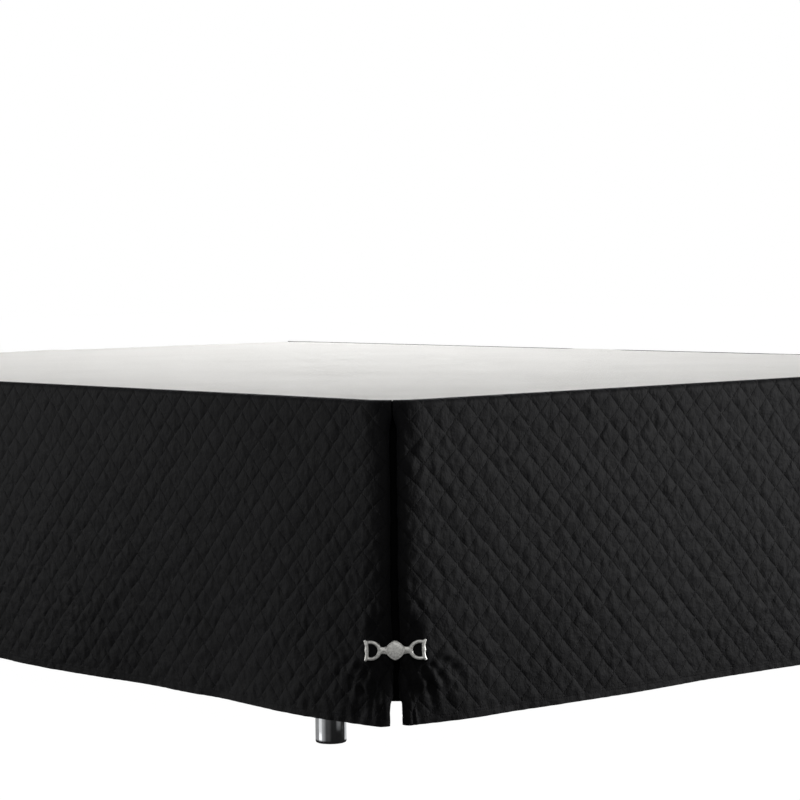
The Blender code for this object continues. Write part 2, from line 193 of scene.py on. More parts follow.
def slit_shape(drop):
    """Arc end angle, roll radius and roll end angle of a slit edge."""
    gap = lookup(SLIT, "drop", "gap", drop) / 1000
    share = lookup(SLIT, "drop", "roll", drop)
    flat_end = DIAGONAL - np.arcsin(gap / CORNER_R)
    end = flat_end + share * (ROLL_END - flat_end)
    radius = 1 / ((1 - share) / CORNER_R + share / ROLL_R)
    spare = np.maximum(CORNER_R - radius, 1e-4)
    reach = (gap + radius * np.sin(np.minimum(end, ROLL_END) - DIAGONAL)) / spare
    arc_end = DIAGONAL - np.arcsin(np.clip(reach, -0.9, 0.9))
    flat = share < 0.01
    return (np.where(flat, flat_end - math.radians(18), arc_end),
            np.where(flat, CORNER_R, radius), np.where(flat, flat_end, end))


def corner_stage(cloth, drop):
    """Stage of the corner for a length of cloth measured from the anchor."""
    arc_end, radius, end = slit_shape(drop)
    tail = TAIL * (0.3 + 0.7 * lookup(SLIT, "drop", "roll", drop))
    straight, arc, roll = ANCHOR - CORNER_R, CORNER_R * arc_end, radius * (end - arc_end)
    hidden = np.clip((cloth - straight - arc) / (CUT_EDGE - straight - arc), 0, 1) * (roll + tail)
    return np.where(
        cloth <= straight, cloth / straight,
        np.where(cloth <= straight + arc, 1 + (cloth - straight) / arc,
                 np.where(hidden <= roll, 2 + hidden / roll, 3 + (hidden - roll) / tail)))


def corner_point(stage, drop):
    arc_end, radius, end = slit_shape(drop)
    tail = TAIL * (0.3 + 0.7 * lookup(SLIT, "drop", "roll", drop))
    turn = arc_end * np.clip(stage - 1, 0, 1)
    along = CORNER_R * (1 - np.sin(turn))
    out = CORNER_R * (np.cos(turn) - 1)
    turn = turn + (end - arc_end) * np.clip(stage - 2, 0, 1)
    rolled = stage > 2
    along = np.where(rolled, along - radius * (np.sin(turn) - np.sin(arc_end)), along)
    out = np.where(rolled, out + radius * (np.cos(turn) - np.cos(arc_end)), out)
    extra = tail * np.clip(stage - 3, 0, 1)
    along = along - extra * np.cos(turn)
    out = out - extra * np.sin(turn)
    straight = stage <= 1
    return (np.where(straight, ANCHOR + stage * (CORNER_R - ANCHOR), along),
            np.where(straight, 0.0, out), np.where(straight, 0.0, turn))


def pull(side, along, stage, drop):
    arc_end = slit_shape(drop)[0]
    from_edge = np.where(stage <= 1, along - CORNER_R + CORNER_R * arc_end,
                         CORNER_R * arc_end * (1 - np.clip(stage - 1, 0, 1)))
    reach = lookup(SLIT, "drop", "reach", drop) / 1000
    pinch = lookup(SLIT, "drop", "pinch", drop) * np.exp(-(from_edge / reach) ** 2.4)
    wide = lookup(SLIT, "drop", side, drop) * np.exp(-(from_edge / WIDE_REACH) ** 2.4)
    return (pinch + wide) / 1000


def fold_out(panel, along, drop):
    total = sum(f["out"] * np.exp(-((along - f["at"]) / f["reach"]) ** 2) for f in FOLDS[panel])
    return total / 1000 * (drop / DROP) ** FOLD_POWER


def near_corner(panel, side, cloth, drop, inset, at_zero, sign):
    """Plan point of the corner zone. cloth = length of cloth from the anchor."""
    stage = corner_stage(cloth, drop)
    along, out, turn = corner_point(stage, drop)
    facing = DIAGONAL * np.minimum(1.0, turn / slit_shape(drop)[0])
    move = -pull(side, along, stage, drop)
    move = move + fold_out(panel, at_zero + sign * along, drop) * ease((along - 0.03) / 0.10)
    return (along - np.sin(facing) * move + np.sin(turn) * inset,
            out + np.cos(facing) * move - np.cos(turn) * inset)


def profile(down):
    """Inset, height and drop for a length of cloth measured down from the deck seam."""
    mid_top = SKIRT_TOP_Z - QUILT_T / 2
    flat = SEAM_INSET - TOP_BEND_R
    bend = TOP_BEND_R * math.pi / 2
    t = np.clip((down - flat) / TOP_BEND_R, 0, math.pi / 2)
    below = np.maximum(down - flat - bend, 0)
    inset = np.where(down < flat, SEAM_INSET - down, TOP_BEND_R * (1 - np.sin(t)))
    z = mid_top - TOP_BEND_R * (1 - np.cos(t)) - below
    fall = mid_top - TOP_BEND_R - HEM_Z
    drop = TOP_BEND_R * t / (math.pi / 2) + below * (DROP - TOP_BEND_R) / fall
    return inset, z, drop


SHEET_DOWN = (SEAM_INSET - TOP_BEND_R) + TOP_BEND_R * math.pi / 2 \
    + (SKIRT_TOP_Z - QUILT_T / 2 - TOP_BEND_R - HEM_Z)


def place_side(panel, x_sign, cloth, down):
    """World points of a side drop. cloth runs from the slit's cut edge to the head."""
    inset, z, drop = profile(down)
    c_along, c_out = near_corner(panel, "side", CUT_EDGE - cloth, drop, inset, 0.0, 1)
    s_along = cloth - CUT_EDGE + ANCHOR
    s_out = fold_out(panel, s_along, drop) - inset
    corner = cloth < CUT_EDGE
    along, out = np.where(corner, c_along, s_along), np.where(corner, c_out, s_out)
    return np.stack([x_sign * (HALF_X + out), -FOOT_Y + along, z], -1), drop


def place_foot(cloth, down):
    """World points of the foot drop. cloth runs from the left cut edge to the right."""
    width = 2 * HALF_X
    total = 2 * CUT_EDGE + width - 2 * ANCHOR
    inset, z, drop = profile(down)
    l_along, l_out = near_corner("foot", "foot", CUT_EDGE - cloth, drop, inset, 0.0, 1)
    r_along, r_out = near_corner("foot", "foot", cloth - total + CUT_EDGE, drop, inset, width, -1)
    s_along = cloth - CUT_EDGE + ANCHOR
    s_out = fold_out("foot", s_along, drop) - inset
    left, right = cloth < CUT_EDGE, cloth > total - CUT_EDGE
    along = np.where(left, l_along, np.where(right, width - r_along, s_along))
    out = np.where(left, l_out, np.where(right, r_out, s_out))
    return np.stack([-HALF_X + along, -FOOT_Y - out, z], -1), drop


def waves(cloth, down, rng, count, low, high, tall=1.0):
    """Smooth seeded unevenness, about -1 to 1, with waves from low to high metres long."""
    total = np.zeros_like(cloth)
    for _ in range(count):
        size = low * (high / low) ** rng.random()
        angle = rng.random() * math.tau
        kx, kz = math.cos(angle) / size, math.sin(angle) / size / tall
        total += np.sin(math.tau * (kx * cloth + kz * down) + rng.random() * math.tau)
    return total / math.sqrt(count / 2) / 2


def crease(table, cloth, drop):
    """How far the creases of a table lift the cloth: sharp valleys with soft banks."""
    total = np.zeros_like(cloth)
    for row in CREASES[table]:
        marks = [np.array(row[key]) / 1000 for key in ("start", "mid", "end")]
        near = np.full(cloth.shape, 9.0)
        share = np.zeros_like(cloth)
        for k in (0, 1):
            edge = marks[k + 1] - marks[k]
            t = np.clip(((cloth - marks[k][0]) * edge[0] + (drop - marks[k][1]) * edge[1])
                        / (edge @ edge), 0, 1)
            off = np.hypot(cloth - marks[k][0] - t * edge[0], drop - marks[k][1] - t * edge[1])
            share = np.where(off < near, (k + t) / 2, share)
            near = np.minimum(near, off)
        wide = row["wide"] / 1000 * (0.75 + 0.5 * share)
        fade = ease(share / 0.18) * (1 - 0.75 * ease((share - 0.45) / 0.55))
        valley = np.exp(-(near / wide) ** 1.4)
        bank = np.exp(-((near - 1.8 * wide) / (0.9 * wide)) ** 2)
        total += row["deep"] / 1000 * fade * (0.45 * bank - valley)
    return total


def cell_random(ka, kb, salt):
    """A repeatable random number from 0 to 1 for each diamond."""
    n = np.sin(ka * 127.1 + kb * 311.7 + salt * 74.7) * 43758.5453
    return n - np.floor(n)


def quilt_relief(cloth, down, drop, total, seed, shift, top_swell):
    """How far a drop's face stands off its middle: puffed diamonds between the lines."""
    a = (cloth + shift[0] + down + shift[1]) / (math.sqrt(2) * LINE_GAP)
    b = (cloth + shift[0] - down - shift[1]) / (math.sqrt(2) * LINE_GAP)
    ka, kb = np.floor(a + 1e-6), np.floor(b + 1e-6)
    fa, fb = a - ka, b - kb
    # each diamond's crown sits a little off its middle
    skew_a = 1 + 0.5 * (cell_random(ka, kb, seed + 1) - 0.5)
    skew_b = 1 + 0.5 * (cell_random(ka, kb, seed + 2) - 0.5)
    pa, pb = np.clip(fa, 0, 1) ** skew_a, np.clip(fb, 0, 1) ** skew_b
    # the lines that the cloth's weight pulls along lie shallower than the others
    swell = ((0.06 + 0.94 * np.abs(np.sin(math.pi * pa)) ** 0.62)
             * np.abs(np.sin(math.pi * pb)) ** 0.66)
    height = 0.58 + 0.84 * cell_random(ka, kb, seed + 3)
    # the crease that some diamonds take from point to point
    across = (fa - 0.5) + (fb - 0.5) - 0.5 * (cell_random(ka, kb, seed + 4) - 0.5)
    pinch = np.exp(-(across / 0.14) ** 2) * (cell_random(ka, kb, seed + 5) - 0.5) * 1.1
    puff = PUFF * swell * (height + pinch)
    # the cloth's own weight draws the diamonds flatter towards the top
    puff = puff * (top_swell + (1 - top_swell) * ease((drop - 0.20) / 0.14))
    # smooth turned hem, smooth top band and smooth side hems, each with its stitch line
    edge = np.minimum(cloth, total - cloth)
    quilted = ease((DROP - HEM_BAND - drop) / 0.0035) * ease((drop - TOP_BAND) / 0.004)
    quilted = quilted * ease((edge - 0.006) / 0.004)
    band = 1 - ease((DROP - HEM_BAND - drop) / 0.002)
    stitch = np.exp(-((drop - DROP + HEM_BAND) / 0.0016) ** 2)
    return LINE_T / 2 + puff * quilted + 0.00045 * band - 0.0004 * stitch


def lattice_mesh(name, place, total, parts, flip, seed, shift, creases, crumple, top_swell):
    """A closed quilted sheet whose mesh runs along its own quilting lines.

    parts = steps to a diamond's side on the face; the back takes half as many.
    shift = steps that the pattern is moved along and down, even in all.
    creases = tables of the creases at the start of the cloth and, for some, at its end.
    crumple = how crumpled the cloth is at its top and at its hem.
    top_swell = how far the diamonds swell at its top, next to 1 at its hem.
    """
    step = POINT_GAP / (2 * parts)
    columns = round(total / step / 4) * 4
    rows = round(SHEET_DOWN / step / 4) * 4
    i, j = np.meshgrid(np.arange(columns + 1), np.arange(rows + 1), indexing="ij")
    cloth, down = total * i / columns, SHEET_DOWN * j / rows
    rng = np.random.default_rng(seed)
    # the pattern wanders a little in the cloth
    free = ease(np.minimum(cloth, total - cloth) / 0.05) * ease(down / 0.05) \
        * ease((SHEET_DOWN - down) / 0.05)
    wander = [0.0015 * free * waves(cloth, down, rng, 12, 0.05, 0.22) for _ in range(2)]
    points, drop = place(cloth + wander[0], down + wander[1])
    du = np.gradient(points, axis=0)
    dv = np.gradient(points, axis=1)
    normal = np.cross(du, dv)
    normal /= np.linalg.norm(normal, axis=-1, keepdims=True)
    if flip:
        normal = -normal
    # the pattern is laid by the mesh's own columns and rows, so that the lines meet its edges
    u, v = i * step, j * step
    moved = (shift[0] * step, shift[1] * step)
    relief = quilt_relief(u, v, drop, columns * step, seed, moved, top_swell)
    hang = 0.0008 * waves(cloth, down, rng, 14, 0.06, 0.30, 1.6) * ease(drop / 0.08)
    restless = crumple[0] + (crumple[1] - crumple[0]) * ease((drop - 0.12) / 0.20)
    # the cloth is restless beside the slits, most of all below the clasps
    slit = np.minimum(cloth, total - cloth) if len(creases) > 1 else cloth
    beside = np.exp(-(np.maximum(slit - 0.045, 0) / 0.05) ** 2) * ease((slit - 0.012) / 0.015)
    restless = restless + beside * (0.7 + 1.1 * ease((drop - 0.28) / 0.05) * ease((DROP - drop) / 0.03))
    hang += 0.00062 * waves(cloth, down, rng, 24, 0.012, 0.038, 1.5) * ease(drop / 0.03) * restless
    # finer crumples in the cloth that hangs free below the clasps
    loose = np.exp(-(np.maximum(slit - 0.085, 0) / 0.04) ** 2) * ease((slit - 0.025) / 0.02)
    loose = loose * ease((drop - 0.305) / 0.03) * ease((DROP - drop) / 0.02)
    hang += 0.00085 * waves(cloth, down, rng, 22, 0.010, 0.022, 1.7) * loose
    hang += crease(creases[0], cloth, drop)
    if len(creases) > 1:
        hang += crease(creases[1], total - cloth, drop)
    front = points + normal * (relief + hang)[..., None]
    back = points - normal * (LINE_T / 2 + 0.75 * (relief - LINE_T / 2) - hang)[..., None]

    verts, uvs, pattern, number = [], [], [], {}

    def take(grid, mask, key):
        table = np.full(mask.shape, -1, dtype=np.int64)
        start = sum(len(block) for block in verts)
        table[mask] = start + np.arange(int(mask.sum()))
        verts.append(grid[mask])
        uvs.append(np.stack([u[mask], v[mask]], -1))
        pattern.append(np.stack([u[mask] + moved[0], v[mask] + moved[1]], -1))
        number[key] = table

    take(front, (i + j) % 2 == 0, "front")
    take(back, ((i // 2 + j // 2) % 2 == 0) & (i % 2 == 0) & (j % 2 == 0), "back")

    faces = []

    def skin(table, s, outward):
        """Diamond-shaped quads, closed along the four sides by triangles."""
        def corner(x, y):
            return table[np.clip(x, 0, columns), np.clip(y, 0, rows)]

        ci, cj = np.meshgrid(np.arange(0, columns + 1, s), np.arange(0, rows + 1, s), indexing="ij")
        odd = (ci // s + cj // s) % 2 == 1
        ci, cj = ci[odd], cj[odd]
        inside = (ci > 0) & (ci < columns) & (cj > 0) & (cj < rows)
        quad = np.stack([corner(ci - s, cj), corner(ci, cj + s), corner(ci + s, cj), corner(ci, cj - s)], -1)
        found = quad[inside].tolist()
        for at, keep in ((cj == 0, (0, 1, 2)), (cj == rows, (2, 3, 0)),
                         (ci == 0, (1, 2, 3)), (ci == columns, (3, 0, 1))):
            found += quad[at & ~inside][:, keep].tolist()
        faces.extend(found if outward else [f[::-1] for f in found])

    skin(number["front"], 1, flip)
    skin(number["back"], 2, not flip)

    # rim: four steps of the back edge take three triangles
    f, b = number["front"], number["back"]

    def rim(path_f, path_b, outward):
        for k in range(len(path_b) - 1):
            a0, a1, a2 = path_f[2 * k], path_f[2 * k + 1], path_f[2 * k + 2]
            b0, b1 = path_b[k], path_b[k + 1]
            for tri in ((a0, a1, b0), (a1, b1, b0), (a1, a2, b1)):
                faces.append(list(tri) if outward else list(tri)[::-1])

    rim(f[0::2, 0].tolist(), b[0::4, 0].tolist(), not flip)
    rim(f[0::2, rows].tolist(), b[0::4, rows].tolist(), flip)
    rim(f[0, 0::2].tolist(), b[0, 0::4].tolist(), flip)
    rim(f[columns, 0::2].tolist(), b[columns, 0::4].tolist(), not flip)

    mesh = bpy.data.meshes.new(name)
    mesh.from_pydata(np.concatenate(verts).tolist(), [], faces)
    mesh.update()
    loop_vertex = np.empty(len(mesh.loops), dtype=np.int32)
    mesh.loops.foreach_get("vertex_index", loop_vertex)
    for key, values in (("cloth", uvs), ("pattern", pattern)):
        layer = mesh.uv_layers.new(name=key)
        layer.data.foreach_set("uv", np.concatenate(values)[loop_vertex].astype(np.float32).ravel())
    mesh.shade_smooth()
    mesh.set_sharp_from_angle(angle=math.radians(70))
    ob = bpy.data.objects.new(name, mesh)
    bpy.context.scene.collection.objects.link(ob)
    return ob


# ---------------------------------------------------------------- materials
class Nodes:
    """Short hands for a material's node tree."""

    def __init__(self, name):
        self.material = bpy.data.materials.new(name)
        self.material.use_nodes = True
        self.tree = self.material.node_tree
        self.shader = self.tree.nodes["Principled BSDF"]

    def new(self, kind, **settings):
        node = self.tree.nodes.new(kind)
        for key, value in settings.items():
            setattr(node, key, value)
        return node

    def put(self, socket, value):
        if isinstance(value, bpy.types.NodeSocket):
            self.tree.links.new(value, socket)
        else:
            socket.default_value = value

    def math(self, operation, first, second=None, clamp=False):
        node = self.new("ShaderNodeMath", operation=operation, use_clamp=clamp)
        self.put(node.inputs[0], first)
        if second is not None:
            self.put(node.inputs[1], second)
        return node.outputs[0]

    def span(self, value, low, high, to_low=0.0, to_high=1.0, smooth=True):
        node = self.new("ShaderNodeMapRange")
        node.interpolation_type = "SMOOTHSTEP" if smooth else "LINEAR"
        for key, number in (("From Min", low), ("From Max", high), ("To Min", to_low), ("To Max", to_high)):
            node.inputs[key].default_value = number
        self.put(node.inputs["Value"], value)
        return node.outputs["Result"]

    def noise(self, where, scale, detail=3.0, rough=0.55, stretch=None):
        if stretch:
            mapping = self.new("ShaderNodeMapping")
            mapping.inputs["Scale"].default_value = stretch
            self.put(mapping.inputs["Vector"], where)
            where = mapping.outputs[0]
        node = self.new("ShaderNodeTexNoise")
        node.inputs["Scale"].default_value = scale
        node.inputs["Detail"].default_value = detail
        node.inputs["Roughness"].default_value = rough
        self.put(node.inputs["Vector"], where)
        return node.outputs[0]

    def ramp(self, value, low, high):
        node = self.new("ShaderNodeMix", data_type="RGBA")
        self.put(node.inputs[0], value)
        node.inputs[6].default_value = (*low, 1)
        node.inputs[7].default_value = (*high, 1)
        return node.outputs[2]

    def bump(self, height, distance, strength=1.0, under=None):
        node = self.new("ShaderNodeBump")
        node.inputs["Strength"].default_value = strength
        node.inputs["Distance"].default_value = distance
        self.put(node.inputs["Height"], height)
        if under is not None:
            self.put(node.inputs["Normal"], under)
        return node.outputs[0]

    def place(self, kind):
        if kind == "object":
            return self.new("ShaderNodeTexCoord").outputs["Object"]
        node = self.new("ShaderNodeUVMap")
        node.uv_map = kind
        return node.outputs[0]

    def finish(self, **values):
        for key, value in values.items():
            self.put(self.shader.inputs[key.replace("_", " ")], value)
        return self.material


def quilted_cloth():
    n = Nodes("quilted_microfibre")
    uv = n.place("cloth")
    split = n.new("ShaderNodeSeparateXYZ")
    n.put(split.inputs[0], n.place("pattern"))
    x, y = split.outputs[0], split.outputs[1]
    k = 1 / (math.sqrt(2) * LINE_GAP)
    a = n.math("MULTIPLY", n.math("ADD", x, y), k)
    b = n.math("MULTIPLY", n.math("SUBTRACT", x, y), k)
    to_a, to_b = n.math("PINGPONG", a, 0.5), n.math("PINGPONG", b, 0.5)
    # welded dashes along both sets of lines
    def dashes(across, lengthwise):
        line = n.span(across, 0.026, 0.058, 1.0, 0.0)
        dash = n.span(n.math("PINGPONG", n.math("MULTIPLY", lengthwise, 6.0), 0.5), 0.10, 0.22)
        return n.math("MULTIPLY", line, n.math("ADD", n.math("MULTIPLY", dash, 0.6), 0.4))
    weld = n.math("MAXIMUM", dashes(to_a, b), dashes(to_b, a))
    # hem and top bands carry no welds, only a stitch line
    real = n.new("ShaderNodeSeparateXYZ")
    n.put(real.inputs[0], uv)
    down = real.outputs[1]
    above = n.span(down, SHEET_DOWN - HEM_BAND - 0.004, SHEET_DOWN - HEM_BAND, 1.0, 0.0)
    below = n.span(down, 0.004, 0.007)
    weld = n.math("MULTIPLY", weld, n.math("MULTIPLY", above, below))
    to_stitch = n.math("ABSOLUTE", n.math("SUBTRACT", down, SHEET_DOWN - HEM_BAND))
    stitch = n.math("MULTIPLY", n.span(to_stitch, 0.0004, 0.0011, 1.0, 0.0),
                    n.span(n.math("PINGPONG", n.math("MULTIPLY", x, 1 / 0.0032), 0.5), 0.08, 0.18))
    # fine crumples and the knit of the microfibre
    crumple = n.noise(uv, 82.0, 4.0, 0.6, (1.0, 0.85, 1.0))
    fine = n.noise(uv, 1500.0, 2.0, 0.5)
    # the cloth turns down sharply into each line
    groove = n.math("POWER", n.math("MINIMUM", n.span(to_a, 0.03, 0.20, smooth=False),
                                    n.span(to_b, 0.03, 0.20, smooth=False)), 0.7)
    groove = n.math("MAXIMUM", groove, n.math("SUBTRACT", 1.0, n.math("MULTIPLY", above, below)))
    normal = n.bump(crumple, 0.0036, 0.8)
    normal = n.bump(groove, 0.0004, 0.85, normal)
    normal = n.bump(weld, 0.0005, 0.8, normal)
    n.tree.nodes[-1].invert = True
    normal = n.bump(stitch, 0.0005, 1.0, normal)
    n.tree.nodes[-1].invert = True
    normal = n.bump(fine, 0.00012, 0.6, normal)
    cloudy = n.noise(uv, 9.0, 3.0, 0.6)
    tone = n.math("ADD", n.math("MULTIPLY", cloudy, 0.6), n.math("MULTIPLY", fine, 0.4))
    # the welds are pressed down, so they lie a little darker, and shine in places
    patchy = n.noise(uv, 60.0, 2.0, 0.5)
    pressed = n.math("MULTIPLY", weld, n.span(patchy, 0.42, 0.62))
    marked = n.math("SUBTRACT", n.math("MULTIPLY", pressed, 0.22), n.math("MULTIPLY", weld, 0.22))
    colour = n.ramp(n.math("ADD", n.math("MULTIPLY", tone, 0.85), marked),
                    (0.0034, 0.0034, 0.0038), (0.0100, 0.0099, 0.0105))
    rough = n.math("SUBTRACT", n.math("ADD", 0.56, n.math("MULTIPLY", crumple, 0.16)),
                   n.math("MULTIPLY", pressed, 0.10))
    n.shader.inputs["Specular IOR Level"].default_value = 0.04
    n.shader.inputs["Sheen Weight"].default_value = 0.02
    n.shader.inputs["Sheen Roughness"].default_value = 0.45
    n.shader.inputs["Sheen Tint"].default_value = (0.8, 0.82, 0.9, 1)
    return n.finish(Base_Color=colour, Roughness=rough, Normal=normal)


def plain_cloth(name, dark, light, where, weave, rough, depth=0.00025, shine=0.20):
    n = Nodes(name)
    at = n.place(where)
    split = n.new("ShaderNodeSeparateXYZ")
    n.put(split.inputs[0], at)
    threads = []
    for axis in (0, 1):
        turn = n.math("SINE", n.math("MULTIPLY", split.outputs[axis], math.tau / weave))
        threads.append(n.math("ADD", n.math("MULTIPLY", turn, 0.5), 0.5))
    knot = n.math("ABSOLUTE", n.math("SUBTRACT", threads[0], threads[1]))
    slub = n.noise(at, 260.0, 3.0, 0.6)
    cloud = n.noise(at, 5.0, 3.0, 0.55)
    tone = n.math("ADD", n.math("MULTIPLY", cloud, 0.55),
                  n.math("ADD", n.math("MULTIPLY", knot, 0.15), n.math("MULTIPLY", slub, 0.30)))
    normal = n.bump(slub, 0.0005, 0.4)
    normal = n.bump(knot, depth, 0.8, normal)
    n.shader.inputs["Specular IOR Level"].default_value = shine
    return n.finish(Base_Color=n.ramp(tone, dark, light), Roughness=rough, Normal=normal)


def metal(name, low, high, rough_low, rough_high, where_scale, bump_scale, bump_depth, strength, metallic=1.0):
    n = Nodes(name)
    at = n.place("object")
    mottle = n.noise(at, where_scale, 4.0, 0.6)
    pits = n.noise(at, bump_scale, 3.0, 0.5)
    n.shader.inputs["Metallic"].default_value = metallic
    return n.finish(Base_Color=n.ramp(n.span(mottle, 0.30, 0.70), low, high),
                    Roughness=n.span(mottle, 0.3, 0.7, rough_low, rough_high),
                    Normal=n.bump(pits, bump_depth, strength))


QUILT = quilted_cloth()


def dress(ob, material, replaces=()):
    ob.data.materials.clear()
    ob.data.materials.append(material)
    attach(ob, "root")
    if replaces:
        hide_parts(*replaces)
    return ob


# ---------------------------------------------------------------- drops
SIDE_TOTAL = CUT_EDGE + HEAD_Y + FOOT_Y - ANCHOR
FOOT_TOTAL = 2 * CUT_EDGE + 2 * HALF_X - 2 * ANCHOR
PARTS_SIDE, PARTS_FOOT = ((8, 8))

side_left = lattice_mesh("side_drop_left", lambda c, d: place_side("left", -1, c, d),
                         SIDE_TOTAL, PARTS_SIDE, False, 11, (1, 3), ("left",), (0.45, 1.40), 0.72)
side_right = lattice_mesh("side_drop_right", lambda c, d: place_side("right", 1, c, d),
                          SIDE_TOTAL, PARTS_SIDE, True, 23, (1, 3), ("right",), (0.7, 1.5), 0.85)
foot = lattice_mesh("foot_drop", place_foot, FOOT_TOTAL, PARTS_FOOT, True, 37, (2, 2),
                    ("foot", "foot_far"), (1.0, 1.15), 0.92)
for ob, node, total in ((side_left, "drop_side_left", SIDE_TOTAL),
                        (side_right, "drop_side_right", SIDE_TOTAL),
                        (foot, "drop_foot", FOOT_TOTAL)):
    dress(ob, QUILT, (node,))


# ---------------------------------------------------------------- underlays
def lay_cloth(mesh, flat, loops=None):
    """Gives a mesh the map "cloth", in metres of cloth, from a place for each vertex or loop."""
    if loops is None:
        loop_vertex = np.empty(len(mesh.loops), dtype=np.int32)
        mesh.loops.foreach_get("vertex_index", loop_vertex)
        loops = flat[loop_vertex]
    mesh.uv_layers.new(name="cloth").data.foreach_set("uv", loops.astype(np.float32).ravel())


def sheet_from(name, columns, rows, place, thickness, size):
    """A fine bent sheet with two skins, from place(u, v) with u and v from 0 to 1."""
    i, j = np.meshgrid(np.arange(columns + 1), np.arange(rows + 1), indexing="ij")
    points = place(i / columns, j / rows)
    du, dv = np.gradient(points, axis=0), np.gradient(points, axis=1)
    normal = np.cross(du, dv)
    normal /= np.linalg.norm(normal, axis=-1, keepdims=True)
    half = normal * thickness / 2
    verts = np.concatenate([(points + half).reshape(-1, 3), (points - half).reshape(-1, 3)])
    count = (columns + 1) * (rows + 1)
    at = (i * (rows + 1) + j)
    a, b, c, d = at[:-1, :-1], at[1:, :-1], at[1:, 1:], at[:-1, 1:]
    top = np.stack([a, b, c, d], -1).reshape(-1, 4)
    faces = top.tolist() + (top[:, ::-1] + count).tolist()
    ring = (at[:, 0].tolist() + at[-1, 1:].tolist() + at[-2::-1, -1].tolist()
            + at[0, -2:0:-1].tolist())
    for p, q in zip(ring, ring[1:] + ring[:1]):
        faces.append([q, p, p + count, q + count])
    mesh = bpy.data.meshes.new(name)
    mesh.from_pydata(verts.tolist(), [], faces)
    mesh.update()
    flat = np.stack([size[0] * i / columns, size[1] * j / rows], -1).reshape(-1, 2)
    lay_cloth(mesh, np.concatenate([flat, flat]))
    mesh.shade_smooth()
    mesh.set_sharp_from_angle(angle=math.radians(60))
    ob = bpy.data.objects.new(name, mesh)
    bpy.context.scene.collection.objects.link(ob)
    return ob


def underlay(name, x_sign, seed):
    centre, radius = STAND_OFF + BASE_CORNER_R, BASE_CORNER_R + FLAP_OFF
    top = SKIRT_TOP_Z - QUILT_T / 2 - DECK_T / 2 - 0.0012
    rng = np.random.default_rng(seed)

    def place(u, v):
        z = top + (FLAP_HEM_Z - top) * v
        turn = DIAGONAL + FLAP_HALF_ANGLE * (2 * u - 1) * -x_sign
        push = FLAP_PUSH * ease((0.148 - z) / 0.040) * math.sin(DIAGONAL)
        hang = 0.0007 * waves(u * 0.11, v * 0.37, rng, 8, 0.03, 0.10, 3.0) * ease(v / 0.2)
        r = radius - np.abs(hang)
        along = centre - r * np.sin(turn) + push
        inward = centre - r * np.cos(turn) + push
        return np.stack([x_sign * (HALF_X - inward), -FOOT_Y + along, z], -1)

    return sheet_from(name, 30, 90, place, FLAP_T, (0.112, 0.375))


UNDERLAY = plain_cloth("underlay_cloth", (0.0012, 0.0012, 0.0014), (0.0032, 0.0032, 0.0035),
                       "cloth", 0.0008, 0.85, shine=0.05)
for side, x_sign, seed in (("left", -1, 5), ("right", 1, 6)):
    ob = underlay("underlay_" + side, x_sign, seed)
    dress(ob, UNDERLAY, ("corner_flap_" + side,))


# ---------------------------------------------------------------- platform cloth
def platform():
    edge = SEAM_INSET + GAP
    half_x, low_y, high_y = HALF_X - edge, -FOOT_Y + edge, BASE_L / 2 - GAP
    corner = CORNER_R - edge
    z_mid = BASE_TOP_Z + GAP + DECK_T / 2
    rng = np.random.default_rng(3)

    def rounded(x, y):
        """Squares off-corner points onto round corners of the outline."""
        cx, cy = half_x - corner, (high_y - low_y) / 2 - corner
        fx, fy = (np.abs(x) - cx) / corner, (np.abs(y) - cy) / corner
        inside = (fx > 0) & (fy > 0)
        gx, gy = np.clip(fx, 0, 1), np.clip(fy, 0, 1)
        nx = np.where(inside, np.sign(x) * (cx + corner * gx * np.sqrt(1 - gy ** 2 / 2)), x)
        ny = np.where(inside, np.sign(y) * (cy + corner * gy * np.sqrt(1 - gx ** 2 / 2)), y)
        return nx, ny

    def place(u, v):
        # columns and rows gather at the edges, for the round corners
        def gather(t):
            return t - 0.02 * np.sin(2 * math.tau * t) / 2 - 0.055 * np.sin(math.tau * t)
        x = (2 * gather(u) - 1) * half_x
        y = (2 * gather(v) - 1) * (high_y - low_y) / 2
        x, y = rounded(x, y)
        near = ease(np.minimum(half_x - np.abs(x), (high_y - low_y) / 2 - np.abs(y)) / 0.05)
        lift = 0.0011 * (1 + waves(x, y, rng, 16, 0.12, 0.55)) * near
        lift += 0.0005 * (1 + waves(x, y, rng, 20, 0.035, 0.10)) * near
        return np.stack([x, y + (low_y + high_y) / 2, z_mid + np.maximum(lift, 0)], -1)

    return sheet_from("platform_cloth", 120, 160, place, DECK_T, (1.38, 1.88))


PLATFORM = plain_cloth("platform_cloth", (0.66, 0.65, 0.625), (0.82, 0.81, 0.79), "cloth", 0.0011, 0.9)
deck = platform()
dress(deck, PLATFORM, ("skirt_deck",))


